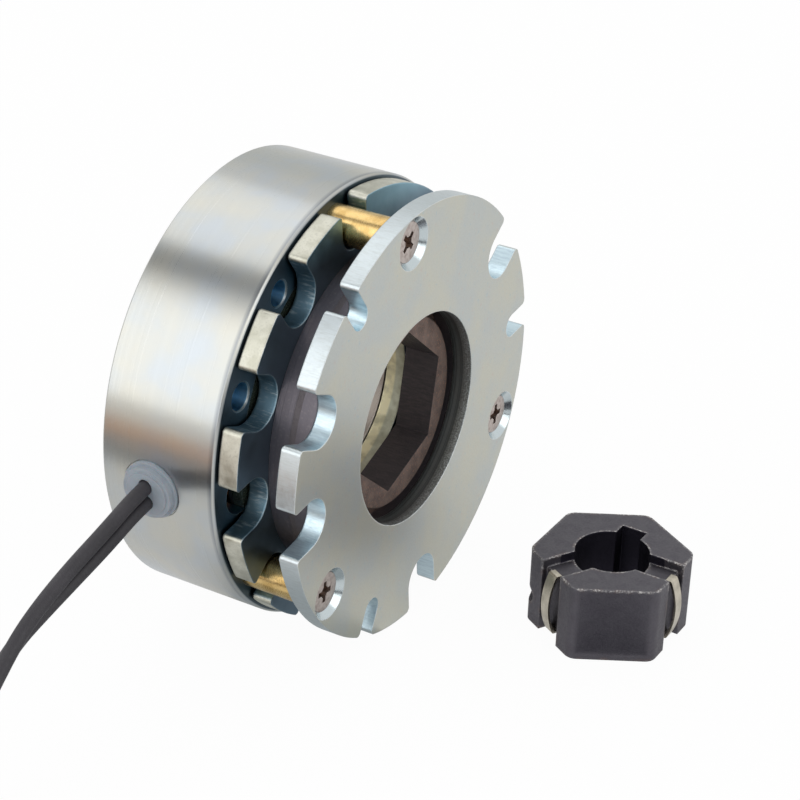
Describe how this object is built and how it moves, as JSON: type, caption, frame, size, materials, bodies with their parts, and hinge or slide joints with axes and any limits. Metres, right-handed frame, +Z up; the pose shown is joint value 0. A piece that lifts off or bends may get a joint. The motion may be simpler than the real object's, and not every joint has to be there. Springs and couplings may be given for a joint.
{
  "type": "electromagnetic motor brake",
  "caption": "Round spring-applied electromagnetic motor brake with notched side plate, brass spacer collars, hexagon rotor, two flying leads and a loose hexagon hub.",
  "frame": {"origin": "centre of the magnet body's mounting face, where the core bore opens", "axes": "+X along the brake axis from the mounting face to the side plate, +Z up from the floor that the brake lies on, on its rim"},
  "size_m": [0.1132, 0.1894, 0.0836],
  "materials": {
    "zinc_steel": "zinc plated, satin",
    "grommet_plastic": "milky, satin",
    "sleeve": "matte",
    "spring_steel": "bright",
    "chromated_steel": "ground faces, chromated edges",
    "bobbin_plastic": "matte",
    "copper_wire": "enamelled copper",
    "potting_resin": "cast resin",
    "rotor_metal": "dark, matte",
    "friction_material": "matte",
    "plated_plate": "plated, faintly mottled",
    "dark_steel": "oiled steel",
    "leaf_spring": "bright",
    "black_screw": "black oxide",
    "lead_jacket": "satin",
    "tie_plastic": "satin",
    "tinned_copper": "tinned",
    "collar_brass": "turned brass",
    "plated_screw": "plated"
  },
  "bodies": {
    "stator": {"field_core": "zinc_steel", "lead_grommet": "grommet_plastic", "lead_splices": "sleeve", "torque_springs": "spring_steel", "coil_bobbin": "bobbin_plastic", "coil_winding": "copper_wire", "coil_potting": "potting_resin", "side_plate": "plated_plate", "rotor_hub": "dark_steel", "hub_spring_left": "leaf_spring", "hub_spring_right": "leaf_spring", "hub_set_screw": "black_screw", "lead_1": "lead_jacket", "lead_2": "lead_jacket", "lead_coil": "lead_jacket", "coil_tie": "tie_plastic", "lead_1_tip": "tinned_copper", "lead_2_tip": "tinned_copper", "collar_1": "collar_brass", "plate_screw_1": "plated_screw", "collar_2": "collar_brass", "plate_screw_2": "plated_screw", "collar_3": "collar_brass", "plate_screw_3": "plated_screw"},
    "armature": {"armature_plate": "chromated_steel"},
    "rotor": {"rotor_core": "rotor_metal", "friction_lining_rear": "friction_material", "friction_lining_front": "friction_material"}
  },
  "joints": [
    {"name": "armature_slide", "type": "slide", "parent": "stator", "child": "armature", "axis": [-1, 0, 0], "range_m": [0, 0.0002], "stiffness_N_per_m": 5000, "springref_m": -0.01, "deforming": ["torque_springs"]},
    {"name": "rotor_spin", "type": "hinge", "parent": "stator", "child": "rotor", "pos_m": [0, 0, 0], "axis": [1, 0, 0], "continuous": true}
  ]
}
